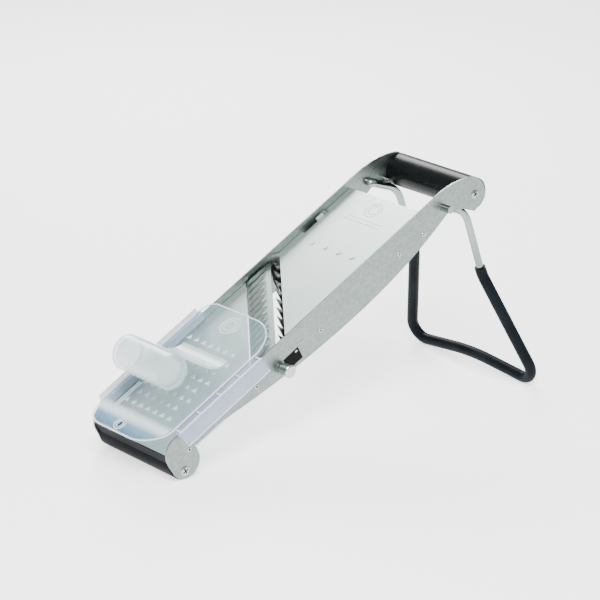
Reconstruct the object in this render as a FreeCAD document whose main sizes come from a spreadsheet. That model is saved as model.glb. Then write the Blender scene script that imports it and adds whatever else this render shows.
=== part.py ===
import FreeCAD
import Part
import math
import os
import Sketcher

# Mandoline slicer: two steel side plates carry an out-feed plate, a diagonal double-edged blade and a
# hinged in-feed plate. A bent-wire leg folds under the deck, and a clear food guard slides on the plates.
#
# Deck frame: x runs up the deck from the foot bar to the handle, y across it (minus is the side with the
# knob), z out of the cutting face. Its origin is the centre of the foot bar.
# Row frame: the deck frame turned up by the deck angle, +Z up, with z = 0 on the table below the foot bar.

V = FreeCAD.Vector
document = FreeCAD.newDocument("mandoline_slicer")
sheet = document.addObject("Spreadsheet::Sheet", "dims")

SIZES = {
    # whole body
    "deck_angle": 28.0, "body_width": 104.0, "plate_thick": 1.5, "edge_height": 26.0,
    "rest_drop": 15.7,
    # side plate outline, along and above the foot bar's centre
    "lobe_radius": 15.2, "nose_radius": 15.0, "edge_end": 336.0, "crown_radius": 80.0,
    "crown_end": 375.5, "crown_height": 13.6, "tail_radius": 20.0, "tail_along": 380.5,
    "tail_height": -8.5, "heel_radius": 9.0, "heel_along": 371.0, "heel_height": -14.6,
    "hook_along": 362.0, "hook_height": -16.2, "notch_along": 352.0, "notch_height": -5.5,
    "throat_along": 335.0, "throat_height": 2.7, "belly_along": 215.0, "belly_height": -10.8,
    "belly_radius_up": 496.0,
    "belly_radius_down": 930.0, "neck_along": 50.0, "neck_height": 4.7, "neck_end": 14.2,
    "neck_end_height": 5.42,
    # handle and foot
    "handle_along": 369.2, "handle_height": -2.1, "handle_radius": 15.0, "handle_rod_radius": 3.0,
    "foot_radius": 16.0, "foot_rod_along": -4.4, "foot_rod_height": -6.8, "foot_rod_radius": 2.5,
    "end_gap": 0.2, "screw_head_radius": 4.0, "screw_head_thick": 1.3, "screw_shank_radius": 1.9,
    "screw_shank_length": 8.0, "tapped_radius": 1.95, "tapped_depth": 9.0, "screw_gap": 0.1,
    "recess_depth": 0.7, "recess_half": 2.0, "recess_width": 0.5, "keyway_depth": 4.0,
    # deck surfaces
    "deck_height": 19.5, "sheet_thick": 1.2, "infeed_thick": 1.5, "skew": 0.853,
    "ripple_edge": 135.5, "straight_edge": 166.0, "infeed_edge": 178.0, "outfeed_gap": 1.5,
    "outfeed_start": -13.0, "outfeed_lip": 12.5, "flange_bottom": 1.5, "flange_start": 18.0,
    "flange_end_right": 97.0, "flange_end_left": 174.0, "infeed_end": 314.5, "infeed_half": 50.2,
    "notch_start": 250.0, "notch_end": 282.0, "notch_depth": 4.5,
    "dimple_along": 243.0, "dimple_first": -26.0, "dimple_pitch": 18.0, "dimple_radius": 2.4,
    "dimple_rise": 0.7, "hinge_lug_half": 7.0, "hinge_lug_drop": 5.0, "hinge_radius": 3.0,
    # blade and its carrier
    "blade_thick": 1.1, "blade_half": 49.0, "carrier_thick": 2.0, "carrier_margin": 4.0,
    "carrier_wall": 1.2, "carrier_foot": -1.0, "carrier_right_start": 84.0, "carrier_right_end": 124.4,
    "carrier_left_start": 162.0, "carrier_left_end": 206.0, "side_gap": 0.1,
    "blade_pin_radius": 1.2, "blade_pin_back": 8.4, "blade_pin_rise": 0.4, "blade_rise": 0.1,
    # rivets
    "rivet_radius": 1.5, "rivet_head_radius": 2.3, "rivet_head_thick": 0.7, "rivet_gap": 0.05,
    # comb, its posts and brackets
    "comb_gap": 1.0, "comb_width": 7.0, "comb_bottom": 6.0, "comb_top": 11.5, "comb_right": -46.0,
    "comb_left": 44.0, "tooth_first": -43.0, "tooth_pitch": 10.0, "tooth_thick": 1.0,
    "tooth_length": 4.5, "tooth_shoulder": 17.0, "tooth_tip": 26.0, "comb_travel": 7.0,
    "post_radius": 1.75, "post_gap": 0.05, "post_eye": 3.6, "shelf_top": -3.0, "bracket_thick": 1.2,
    "tooth_foot": 3.0, "cam_arm_start": 117.5, "cam_arm_outer": 46.8, "cam_arm_inner": 43.6,
    "cam_arm_web": 134.0, "cam_arm_end": 136.5, "cam_arm_joint": 145.0, "bracket_top": 9.0,
    "shelf_back": 4.5, "shelf_front": 6.0, "shelf_side": 5.0,
    # block that closes the left end of the gap behind the blade
    "block_right": 29.0, "block_left": 46.5, "block_near": 0.8, "block_far": 5.2,
    "block_bottom": 4.0, "block_top": 17.0,
    # knob, shaft and cam
    "knob_along": 120.5, "knob_height": 3.0, "knob_radius": 6.0, "knob_inner": 55.0,
    "knob_outer": 64.5, "shaft_radius": 2.5, "shaft_end": 42.5, "running_gap": 0.05,
    "cam_high": 10.6, "cam_turn": 120.0, "cam_outer": 47.0, "cam_inner": 43.4, "lug_gap": 0.6,
    "lug_top": 16.2, "nub_half": 0.6, "collar_radius": 4.2, "collar_gap": 0.3, "shaft_grip": 6.0,
    # scale window
    "window_start": 124.8, "window_end": 143.2, "window_low": -3.9, "window_high": 8.4,
    "window_fit": 0.1, "block_depth": 3.5,
    # thickness slider under the in-feed plate
    "tilt_angle": 1.75, "slider_travel": 16.0, "slider_start": 257.0, "slider_end": 283.0,
    "slider_floor": 3.3, "slider_base": 2.0, "slider_outer": 49.0, "wedge_inner": 37.4,
    "wedge_outer": 43.0, "wedge_gap": 0.3, "nub_along": 262.0, "nub_bottom": 14.9, "nub_across": 40.0,
    "nub_side": 1.5, "tab_start": 268.0, "tab_end": 276.0, "tab_top": 21.0, "tab_inner": 46.2,
    "rail_low_end": 236.0, "rail_high_end": 292.0, "rail_edge": 36.0, "rail_lip": 3.0, "rail_top": 11.0,
    "rest_start": 258.0, "rest_end": 288.0, "rest_bottom": 1.0, "rest_top": 16.3, "rest_inner": 42.0,
    # folding leg
    "pivot_along": 333.6, "pivot_height": 11.1, "rod_radius": 3.4, "sleeve_radius": 5.2,
    "pin_reach": 62.0, "arm_across": 45.5, "pin_bend": 4.6, "elbow_along": 357.0,
    "elbow_height": -14.2, "elbow_bend": 24.0, "leg_rake": 8.88, "flare_start": 67.5,
    "flare_angle": 20.8, "flare_bend": 38.0, "foot_bend": 14.0, "bow_angle": 6.6, "bow_bend": 200.0,
    "sleeve_start": 60.0, "sleeve_gap": 0.02, "stop_along": 351.4, "stop_height": 0.3,
    "stop_radius": 2.0, "stop_reach": 44.0,
    # food guard
    "guard_floor": 30.0, "guard_thick": 1.8, "guard_end": 138.0, "guard_tip": -22.0,
    "lip_bend": 30.0, "lip_angle": 13.0, "guard_half": 50.2, "corner_low": 30.0,
    "corner_right": 35.0, "corner_left": 13.0, "rail_start": 5.0, "rail_end_right": 105.0,
    "rail_end_left": 125.0, "rail_clear": 0.3, "rail_slab": 2.0, "rail_inner": 48.4,
    "rail_outer": 57.8, "rail_wall": 1.6, "rib_bottom": 22.5, "ridge_top": 30.6,
    "skirt_out": 62.4, "skirt_bottom": 17.5, "rib_first": 7.0, "rib_pitch": 24.0,
    "rib_thick": 1.2,
    "grip_along": 37.0, "grip_height": 64.5, "grip_radius": 16.0, "grip_half": 31.5,
    "grip_wall": 2.2, "grip_recess": 3.0, "cap_thick": 2.0, "web_half": 31.0,
    "web_foot": 88.0, "web_bend_along": 69.4, "web_bend_height": 42.3, "web_top_along": 49.7,
    "web_top_height": 74.0, "web_radius": 22.0, "web_thick": 2.0,
    "web_foot_length": 5.2, "spike_first": 14.6, "spike_row": 11.7, "spike_pitch": 10.0,
    "spike_across": -32.0, "spike_radius": 2.0, "spike_tip": 0.3, "spike_drop": 2.8,
    "stud_along": -13.7, "stud_across": 0.5, "stud_radius": 6.0, "stud_low": 30.6, "stud_high": 36.6,
    "slot_half": 4.5, "slot_width": 0.8, "slot_depth": 1.2,
}

for row, (name, number) in enumerate(SIZES.items(), start=1):
    sheet.set(f"A{row}", name)
    sheet.set(f"B{row}", str(number))
    sheet.setAlias(f"B{row}", name)
document.recompute()


class Size:
    """A length that knows both its number and the sheet expression that gives it."""

    def __init__(self, number, text=None):
        self.number = float(number)
        self.text = repr(float(number)) if text is None else text

    def joined(self, other, sign, number):
        return Size(number, f"({self.text} {sign} {size(other).text})")

    def __add__(self, other):
        return self.joined(other, "+", self.number + size(other).number)

    def __sub__(self, other):
        return self.joined(other, "-", self.number - size(other).number)

    def __mul__(self, other):
        return self.joined(other, "*", self.number * size(other).number)

    def __truediv__(self, other):
        return self.joined(other, "/", self.number / size(other).number)

    def __radd__(self, other):
        return size(other) + self

    def __rsub__(self, other):
        return size(other) - self

    def __neg__(self):
        return Size(-self.number, f"(0 - {self.text})")


def size(value):
    return value if isinstance(value, Size) else Size(value)


class Dims:
    """dims.name reads the cell with that alias as a Size."""

    def __getattr__(self, name):
        return Size(sheet.get(name), f"dims.{name}")


dims = Dims()

# ---------------------------------------------------------------- frames and small helpers

DECK_TURN = FreeCAD.Rotation(V(0, 1, 0), -dims.deck_angle.number)
DECK = FreeCAD.Placement(V(0, 0, dims.rest_drop.number), DECK_TURN)
ALONG_Y = FreeCAD.Rotation(V(1, 0, 0), -90)
ACROSS = "XZ_Plane"
FLAT = "XY_Plane"
LENGTHWISE = "YZ_Plane"
nodes = []


def node(name, piece):
    """Name a finished sub-part and stand it in the row frame."""
    if piece.TypeId in ("Part::Box", "Part::Cylinder"):
        piece = group(piece)
    piece.Label = name
    piece.Placement = DECK
    nodes.append(piece)
    return piece


def place(piece, x, y, z):
    for axis, value in zip("xyz", (x, y, z)):
        piece.setExpression(f"Placement.Base.{axis}", size(value).text)
    return piece


def box(x, y, z):
    """A box between two limits on each axis."""
    piece = document.addObject("Part::Box", "box")
    for name, limits in zip(("Length", "Width", "Height"), (x, y, z)):
        piece.setExpression(name, (size(limits[1]) - limits[0]).text)
    return place(piece, x[0], y[0], z[0])


def rod(x, z, y, radius):
    """A round bar across the deck, between two y limits."""
    piece = document.addObject("Part::Cylinder", "rod")
    piece.Placement = FreeCAD.Placement(V(0, 0, 0), ALONG_Y)
    piece.setExpression("Radius", size(radius).text)
    piece.setExpression("Height", (size(y[1]) - y[0]).text)
    return place(piece, x, y[0], z)


def post(x, y, z, radius):
    """A round bar square to the deck, between two z limits."""
    piece = document.addObject("Part::Cylinder", "post")
    piece.setExpression("Radius", size(radius).text)
    piece.setExpression("Height", (size(z[1]) - z[0]).text)
    return place(piece, x, y, z[0])


def fuse(*pieces):
    piece = document.addObject("Part::MultiFuse", "fuse")
    piece.Shapes = list(pieces)
    return piece


def cut(base, *tools):
    piece = document.addObject("Part::Cut", "cut")
    piece.Base = base
    piece.Tool = tools[0] if len(tools) == 1 else fuse(*tools)
    return piece


def common(first, second):
    piece = document.addObject("Part::MultiCommon", "common")
    piece.Shapes = [first, second]
    return piece


def group(*pieces):
    piece = document.addObject("Part::Compound", "group")
    piece.Links = list(pieces)
    return piece


def arc(x, z, radius, turn):
    """An outline step: round to (x, z), turning left (+1) or right (-1)."""
    return (x, z, radius, turn)


def arc_geometry(start, end, radius, turn):
    """The short arc of that radius between two points."""
    chord = end - start
    half = chord.Length / 2
    side = V(-chord.y, chord.x, 0).normalize() * turn
    centre = (start + end) * 0.5 + side * math.sqrt(max(radius * radius - half * half, 0))
    first, last = (start, end) if turn > 0 else (end, start)
    angles = [math.atan2((p - centre).y, (p - centre).x) for p in (first, last)]
    circle = Part.Circle(centre, V(0, 0, 1), radius)
    return Part.ArcOfCircle(circle, angles[0], angles[1])


def pin_point(sketch, edge, end, values):
    """Hold one end of a sketch edge at its two coordinates."""
    for kind, value, axis in zip(("DistanceX", "DistanceY"), values, (-2, -1)):
        value = size(value)
        if abs(value.number) < 1e-9:
            sketch.addConstraint(Sketcher.Constraint("PointOnObject", edge, end, axis))
        else:
            index = sketch.addConstraint(Sketcher.Constraint(kind, -1, 1, edge, end, value.number))
            sketch.setExpression(f"Constraints[{index}]", value.text)


def prism(plane, outline, low, high):
    """A body padded from a closed outline of lines and arcs, between two limits along the normal.

    The normal of the ACROSS plane points along -y, so its limits are counted the other way.
    """
    low, high = size(low), size(high)
    body = document.addObject("PartDesign::Body", "prism")
    sketch = body.newObject("Sketcher::SketchObject", "outline")
    origin_plane = [f for f in body.Origin.OriginFeatures if f.Role == plane][0]
    sketch.AttachmentSupport = [(origin_plane, "")]
    sketch.MapMode = "FlatFace"
    offset = -high if plane == ACROSS else low
    sketch.setExpression("AttachmentOffset.Base.z", offset.text)
    points = [V(size(step[0]).number, size(step[1]).number, 0) for step in outline]
    count = len(outline)
    starts, ends = [], []
    for index in range(count):
        step = outline[(index + 1) % count]
        start, end = points[index], points[(index + 1) % count]
        if len(step) == 4:
            edge = sketch.addGeometry(arc_geometry(start, end, size(step[2]).number, step[3]), False)
            radius = sketch.addConstraint(Sketcher.Constraint("Radius", edge, size(step[2]).number))
            sketch.setExpression(f"Constraints[{radius}]", size(step[2]).text)
            starts.append(1 if step[3] > 0 else 2)
            ends.append(2 if step[3] > 0 else 1)
        else:
            sketch.addGeometry(Part.LineSegment(start, end), False)
            starts.append(1)
            ends.append(2)
    for index in range(count):
        following = (index + 1) % count
        sketch.addConstraint(
            Sketcher.Constraint("Coincident", index, ends[index], following, starts[following]))
        pin_point(sketch, index, starts[index], outline[index][:2])
    pad = body.newObject("PartDesign::Pad", "pad")
    pad.Profile = sketch
    pad.setExpression("Length", (high - low).text)
    body.Tip = pad
    sketch.Visibility = False
    return body


# ---------------------------------------------------------------- shared values

half = dims.body_width / 2
inside = half - dims.plate_thick
RIVETS = {"foot": (8.5, 7.0), "carrier": (91.0, 7.0), "bracket": (170.0, 4.0),
          "slider": (273.0, 6.5), "hinge": (304.0, 4.0)}
HINGE_ALONG, HINGE_HEIGHT = RIVETS["hinge"]
SIDES = {"right": -1, "left": 1}
OVERLAP = 0.1


def skewed(edge, y):
    """Where a diagonal deck edge lies at y."""
    return edge + dims.skew * y


def between(side, inner, outer):
    """The y limits of a piece between two distances from the middle, on one side."""
    if side < 0:
        return (-size(outer), -size(inner))
    return (size(inner), size(outer))


# ---------------------------------------------------------------- side plates

def side_plate_outline():
    return [
        arc(0, dims.edge_height, dims.nose_radius, -1),
        (dims.edge_end, dims.edge_height),
        arc(dims.crown_end, dims.crown_height, dims.crown_radius, -1),
        arc(dims.tail_along, dims.tail_height, dims.tail_radius, -1),
        arc(dims.heel_along, dims.heel_height, dims.heel_radius, -1),
        (dims.hook_along, dims.hook_height),
        (dims.notch_along, dims.notch_height),
        (dims.throat_along, dims.throat_height),
        arc(dims.belly_along, dims.belly_height, dims.belly_radius_up, -1),
        arc(dims.neck_along, dims.neck_height, dims.belly_radius_down, -1),
        (dims.neck_end, dims.neck_end_height),
        arc(0, -dims.lobe_radius, dims.lobe_radius, -1),
        arc(-dims.lobe_radius, 0, dims.lobe_radius, -1),
        (-dims.lobe_radius, dims.edge_height - dims.nose_radius),
    ]


def side_plate(side):
    limits = between(side, inside, half)
    through = between(side, inside - 1, half + 1)
    holes = [rod(x, z, through, dims.rivet_radius + dims.rivet_gap) for x, z in RIVETS.values()]
    holes.append(rod(dims.pivot_along, dims.pivot_height, through, dims.rod_radius + dims.running_gap))
    screw_hole = dims.tapped_radius + dims.screw_gap
    holes.append(rod(dims.handle_along, dims.handle_height, through, screw_hole))
    holes.append(rod(dims.foot_rod_along, dims.foot_rod_height, through, screw_hole))
    if side < 0:
        holes.append(rod(dims.knob_along, dims.knob_height, through, dims.shaft_radius + dims.running_gap))
        holes.append(box((dims.window_start, dims.window_end), through, (dims.window_low, dims.window_high)))
    return cut(prism(ACROSS, side_plate_outline(), *limits), *holes)


for side_name, side in SIDES.items():
    node(f"side_plate_{side_name}", side_plate(side))


# ---------------------------------------------------------------- handle and foot

def tapped_rod(x, z, radius):
    """A tie rod between the plates, tapped at both ends for the screws."""
    holes = [rod(x, z, between(side, inside - dims.tapped_depth, inside + 1), dims.tapped_radius)
             for side in SIDES.values()]
    return cut(rod(x, z, (-inside, inside), radius), *holes)


def end_screws(x, z):
    """A low round-headed screw with a cross recess, at each side plate."""
    screws = []
    long, short = dims.recess_half, dims.recess_width
    for side in SIDES.values():
        head = rod(x, z, between(side, half, half + dims.screw_head_thick), dims.screw_head_radius)
        shank = rod(x, z, between(side, half - dims.screw_shank_length, half), dims.screw_shank_radius)
        top = half + dims.screw_head_thick
        recess = between(side, top - dims.recess_depth, top + 1)
        bars = [box((x - long, x + long), recess, (z - short, z + short)),
                box((x - short, x + short), recess, (z - long, z + long))]
        screws.append(cut(fuse(head, shank), *bars))
    return group(*screws)


def handle_grip():
    ends = (-(inside - dims.end_gap), inside - dims.end_gap)
    bore_radius = dims.handle_rod_radius + dims.running_gap
    return cut(rod(dims.handle_along, dims.handle_height, ends, dims.handle_radius),
               rod(dims.handle_along, dims.handle_height, (-half, half), bore_radius))


def foot_bar():
    """The rubber foot: a round bar with a narrow flat that rests on the table."""
    ends = (-(inside - dims.end_gap), inside - dims.end_gap)
    reach, depth = dims.foot_radius.number + 4, 5
    table = document.addObject("Part::Box", "table")
    table.Length, table.Width, table.Height = 2 * reach, 2 * half.number, depth
    corner = V(-reach, -half.number, -dims.rest_drop.number - depth)
    table.Placement = FreeCAD.Placement(DECK_TURN.inverted().multVec(corner), DECK_TURN.inverted())
    bore = rod(dims.foot_rod_along, dims.foot_rod_height, (-half, half),
               dims.foot_rod_radius + dims.running_gap)
    keyways = [rod(RIVETS["foot"][0], RIVETS["foot"][1], between(side, inside - dims.keyway_depth, half),
                   dims.rivet_radius + dims.rivet_gap) for side in SIDES.values()]
    return cut(rod(0, 0, ends, dims.foot_radius), table, bore, *keyways)


node("handle_grip", handle_grip())
node("handle_rod", tapped_rod(dims.handle_along, dims.handle_height, dims.handle_rod_radius))
node("handle_screws", end_screws(dims.handle_along, dims.handle_height))
node("foot_bar", foot_bar())
node("foot_rod", tapped_rod(dims.foot_rod_along, dims.foot_rod_height, dims.foot_rod_radius))
node("foot_screws", end_screws(dims.foot_rod_along, dims.foot_rod_height))


# ---------------------------------------------------------------- deck plates and blade

sheet_low = dims.deck_height - dims.sheet_thick
deck_half = inside - dims.end_gap
blade_low = dims.deck_height + dims.blade_rise - dims.blade_thick
carrier_low = blade_low - dims.carrier_thick
BLADE_PIN_ACROSS = (-29.8, -21.2, 21.2, 29.8)


def outfeed_plate():
    """The lower deck plate, with a lip over the foot and a side flange on each side."""
    far = dims.ripple_edge - dims.outfeed_gap
    outline = [
        (dims.outfeed_start, -deck_half),
        (skewed(far, -deck_half), -deck_half),
        (skewed(far, deck_half), deck_half),
        (dims.outfeed_start, deck_half),
    ]
    top = prism(FLAT, outline, sheet_low, dims.deck_height)
    lip = box((dims.outfeed_start, dims.outfeed_start + dims.sheet_thick), (-deck_half, deck_half),
              (dims.outfeed_lip, dims.deck_height))
    flanges, holes = [], []
    for side, end in ((-1, dims.flange_end_right), (1, dims.flange_end_left)):
        limits = between(side, deck_half - dims.sheet_thick, deck_half)
        flanges.append(box((dims.flange_start, end), limits, (dims.flange_bottom, dims.deck_height)))
        for name in ("carrier", "bracket"):
            holes.append(rod(*RIVETS[name], between(side, 40, half), dims.rivet_radius + dims.rivet_gap))
    return cut(fuse(top, lip, *flanges), *holes)


def slanted_strip(near, far, half_width, low, high):
    """A flat strip that crosses the deck between two skewed edges."""
    outline = [
        (skewed(near, -half_width), -half_width),
        (skewed(far, -half_width), -half_width),
        (skewed(far, half_width), half_width),
        (skewed(near, half_width), half_width),
    ]
    return prism(FLAT, outline, low, high)


def blade_pin_spots():
    """Two locating pins near each end of the blade, back from its straight edge."""
    back = dims.straight_edge - dims.blade_pin_back
    return [(skewed(back, size(y)), size(y)) for y in BLADE_PIN_ACROSS]


def blade():
    strip = slanted_strip(dims.ripple_edge, dims.straight_edge, dims.blade_half, blade_low,
                          dims.deck_height + dims.blade_rise)
    holes = [post(x, y, (blade_low - 1, dims.deck_height + 1), dims.blade_pin_radius + dims.rivet_gap)
             for x, y in blade_pin_spots()]
    return cut(strip, *holes)


def blade_carrier():
    """The stiff strip under the blade, with a riveted flange at each end."""
    near = dims.ripple_edge + dims.carrier_margin
    far = dims.straight_edge - dims.carrier_margin
    flange_outer = deck_half - dims.sheet_thick - dims.side_gap
    wall = (flange_outer - dims.carrier_wall, flange_outer)
    height = (dims.carrier_foot, carrier_low + OVERLAP)
    strip = slanted_strip(near, far, flange_outer, carrier_low, blade_low)
    right = box((dims.carrier_right_start, dims.carrier_right_end), between(-1, *wall), height)
    left = box((dims.carrier_left_start, dims.carrier_left_end), between(1, *wall), height)
    through = (-half, half)
    holes = [post(x, y, (carrier_low - 1, blade_low + 1), dims.blade_pin_radius + dims.rivet_gap)
             for x, y in blade_pin_spots()]
    holes.append(rod(*RIVETS["carrier"], (-half, 0), dims.rivet_radius + dims.rivet_gap))
    holes.append(rod(*RIVETS["bracket"], (0, half), dims.rivet_radius + dims.rivet_gap))
    holes.append(rod(dims.knob_along, dims.knob_height, (-half, 0), dims.shaft_radius + dims.running_gap))
    return cut(fuse(strip, right, left), *holes)


DIMPLES = 4


def infeed_plate():
    """The hinged upper deck plate: skewed front edge, finger notch, dimples, hinge lugs and a nub."""
    low = dims.deck_height - dims.infeed_thick
    notch_y = dims.infeed_half - dims.notch_depth
    outline = [
        (skewed(dims.infeed_edge, -dims.infeed_half), -dims.infeed_half),
        (dims.infeed_end, -dims.infeed_half),
        (dims.infeed_end, dims.infeed_half),
        (dims.notch_end, dims.infeed_half),
        (dims.notch_end, notch_y),
        (dims.notch_start, notch_y),
        (dims.notch_start, dims.infeed_half),
        (skewed(dims.infeed_edge, dims.infeed_half), dims.infeed_half),
    ]
    top = prism(FLAT, outline, low, dims.deck_height)
    pieces = [top]
    for side in SIDES.values():
        limits = between(side, dims.infeed_half - dims.sheet_thick, dims.infeed_half)
        pieces.append(box((HINGE_ALONG - dims.hinge_lug_half, HINGE_ALONG + dims.hinge_lug_half), limits,
                          (HINGE_HEIGHT - dims.hinge_lug_drop, dims.deck_height)))
    pieces.append(box((dims.nub_along - dims.nub_side, dims.nub_along + dims.nub_side),
                      (dims.nub_across - dims.nub_side, dims.nub_across + dims.nub_side),
                      (dims.nub_bottom, low)))
    for count in range(DIMPLES):
        y = dims.dimple_first + dims.dimple_pitch * count
        pieces.append(post(dims.dimple_along, y, (low, dims.deck_height + dims.dimple_rise),
                           dims.dimple_radius))
    bore = rod(HINGE_ALONG, HINGE_HEIGHT, (-half, half), dims.hinge_radius + dims.running_gap)
    return cut(fuse(*pieces), bore)


node("outfeed_plate", outfeed_plate())
node("blade", blade())
node("blade_carrier", blade_carrier())
node("blade_pins", group(*[post(x, y, (carrier_low, dims.deck_height + dims.blade_pin_rise),
                                dims.blade_pin_radius)
                           for x, y in blade_pin_spots()]))
node("infeed_plate", infeed_plate())
node("infeed_hinge_rod", rod(HINGE_ALONG, HINGE_HEIGHT, (-inside, inside), dims.hinge_radius))


# ---------------------------------------------------------------- rivets

def rivets(side):
    """One rivet per hole; each shank reaches as deep as the stack behind its hole."""
    depths = {"foot": 4.0, "carrier": 5.2, "bracket": 6.2, "slider": 2.9, "hinge": 1.4}
    pieces = []
    for name, (x, z) in RIVETS.items():
        head = rod(x, z, between(side, half, half + dims.rivet_head_thick), dims.rivet_head_radius)
        shank = rod(x, z, between(side, half - depths[name], half), dims.rivet_radius)
        pieces.append(fuse(head, shank))
    return pieces


node("rivets", group(*rivets(-1), *rivets(1)))


# ---------------------------------------------------------------- comb, posts, brackets

POSTS = {"right": (148.5, -40.0), "left": (213.8, 36.5)}
BRACKET_SPANS = {"right": (143.6, 178.0), "left": (162.0, 219.0)}
TEETH = 9


def comb_bar():
    """The bar under the in-feed edge that carries the teeth, with a lug that rides on the cam."""
    near = dims.infeed_edge + dims.comb_gap
    outline = [
        (skewed(near, dims.comb_right), dims.comb_right),
        (skewed(near + dims.comb_width, dims.comb_right), dims.comb_right),
        (skewed(near + dims.comb_width, dims.comb_left), dims.comb_left),
        (skewed(near, dims.comb_left), dims.comb_left),
    ]
    bar = prism(FLAT, outline, dims.comb_bottom, dims.comb_top)
    arm_y = (-dims.cam_arm_outer, -dims.cam_arm_inner)
    nub_low = dims.knob_height + dims.cam_high + dims.lug_gap
    nub_x = (dims.knob_along - dims.nub_half, dims.knob_along + dims.nub_half)
    pieces = [
        bar,
        box(nub_x, arm_y, (nub_low, nub_low + dims.lug_gap)),
        box((dims.cam_arm_start, dims.cam_arm_end), arm_y, (nub_low + dims.lug_gap, dims.lug_top)),
        box((dims.cam_arm_web, dims.cam_arm_end), arm_y, (dims.comb_bottom, dims.lug_top)),
        box((dims.cam_arm_web, dims.cam_arm_joint), arm_y, (dims.comb_bottom, dims.comb_top)),
    ]
    holes = []
    for x, y in POSTS.values():
        pieces.append(post(x, y, (dims.comb_bottom, dims.comb_top), dims.post_eye))
        holes.append(post(x, y, (dims.comb_bottom - 1, dims.comb_top + 1), dims.post_radius + dims.post_gap))
    return cut(fuse(*pieces), *holes)


def comb_tooth(y, bar):
    """An upright cutter with a raked back and a point at its front, its foot let into the bar's face."""
    back = skewed(dims.infeed_edge, size(y)) - dims.comb_gap
    front = back - dims.tooth_length
    outline = [
        (front, dims.comb_bottom),
        (back + dims.tooth_foot, dims.comb_bottom),
        (back + dims.tooth_foot, dims.comb_top),
        (back, dims.comb_top),
        (back, dims.tooth_shoulder),
        (front, dims.tooth_tip),
    ]
    blank = prism(ACROSS, outline, size(y) - dims.tooth_thick / 2, size(y) + dims.tooth_thick / 2)
    return cut(blank, bar)


def comb_bracket(side, x, post_spot, wall_outer):
    """A riveted angle whose shelf holds one guide post."""
    wall_inner = wall_outer - dims.bracket_thick
    floor = dims.shelf_top - dims.bracket_thick
    wall = box(x, between(side, wall_inner, wall_outer), (floor, dims.bracket_top))
    shelf = box((post_spot[0] - dims.shelf_back, post_spot[0] + dims.shelf_front),
                between(side, abs(post_spot[1]) - dims.shelf_side, wall_outer), (floor, dims.shelf_top))
    hole = rod(*RIVETS["bracket"], between(side, 30, half), dims.rivet_radius + dims.rivet_gap)
    return cut(fuse(wall, shelf), hole)


def blade_end_block():
    """The black block that closes the left end of the gap behind the blade."""
    right, left = dims.block_right, dims.block_left
    near, far = dims.straight_edge + dims.block_near, dims.straight_edge + dims.block_far
    outline = [
        (skewed(near, right), right),
        (skewed(far, right), right),
        (skewed(far, left), left),
        (skewed(near, left), left),
    ]
    return prism(FLAT, outline, dims.block_bottom, dims.block_top)


bar_in_place = comb_bar()
node("comb_teeth", group(*[comb_tooth(dims.tooth_first + dims.tooth_pitch * count, bar_in_place)
                           for count in range(TEETH)]))
node("comb_bar", group(bar_in_place))
node("comb_bracket_right", comb_bracket(-1, BRACKET_SPANS["right"], POSTS["right"],
                                        inside - dims.side_gap))
left_stack = deck_half - dims.sheet_thick - dims.carrier_wall
node("comb_bracket_left", comb_bracket(1, BRACKET_SPANS["left"], POSTS["left"],
                                       left_stack - dims.side_gap - dims.side_gap))
node("blade_end_block", blade_end_block())
node("comb_posts", group(*[post(x, y, (dims.shelf_top, dims.comb_top), dims.post_radius)
                           for x, y in POSTS.values()]))


# ---------------------------------------------------------------- knob, shaft, cam and scale block

def cam():
    """A spiral lobe: its radius falls evenly by the comb's travel over the knob's turn."""
    high, travel = dims.cam_high.number, dims.comb_travel.number
    turn = math.radians(dims.cam_turn.number)
    x, z = dims.knob_along.number, dims.knob_height.number
    steps = 16
    heel_angles = (210, 330, 420)
    rim = []
    for count in range(steps + 1):
        angle = math.pi / 2 + turn * count / steps
        radius = high - travel * count / steps
        rim.append(V(x + radius * math.cos(angle), -dims.cam_outer.number, z + radius * math.sin(angle)))
    low = high - travel
    heel = [V(x + low * math.cos(a), -dims.cam_outer.number, z + low * math.sin(a))
            for a in map(math.radians, heel_angles)]
    spiral = Part.BSplineCurve()
    spiral.interpolate(rim)
    back = Part.Arc(*heel).toShape()
    face = Part.Face(Part.Wire([spiral.toShape(), back, Part.makeLine(heel[-1], rim[0])]))
    depth = dims.cam_outer.number - dims.cam_inner.number
    start = V(x, -dims.cam_outer.number - 1, z)
    bore = Part.makeCylinder(dims.shaft_radius.number, depth + 2, start, V(0, 1, 0))
    piece = document.addObject("Part::Feature", "cam")
    piece.Shape = face.extrude(V(0, depth, 0)).cut(bore)
    return piece


def knob():
    """A plain round knob with a collar that stands just off the side plate."""
    limits = (-dims.knob_outer, -dims.knob_inner)
    grip = rod(dims.knob_along, dims.knob_height, limits, dims.knob_radius)
    collar = rod(dims.knob_along, dims.knob_height, (-dims.knob_inner, -(half + dims.collar_gap)),
                 dims.collar_radius)
    bore = rod(dims.knob_along, dims.knob_height, (-dims.knob_inner - dims.shaft_grip, -half),
               dims.shaft_radius)
    return cut(fuse(grip, collar), bore)


def scale_block():
    """The black insert that fills the window in the right side plate."""
    fit = dims.window_fit
    return box((dims.window_start + fit, dims.window_end - fit), (-half, -(half - dims.block_depth)),
               (dims.window_low + fit, dims.window_high - fit))


node("knob", knob())
node("knob_shaft", rod(dims.knob_along, dims.knob_height,
                       (-dims.knob_inner - dims.shaft_grip, -dims.shaft_end), dims.shaft_radius))
node("comb_cam", cam())
node("scale_block", scale_block())


# ---------------------------------------------------------------- thickness slider and plate rests

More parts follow.
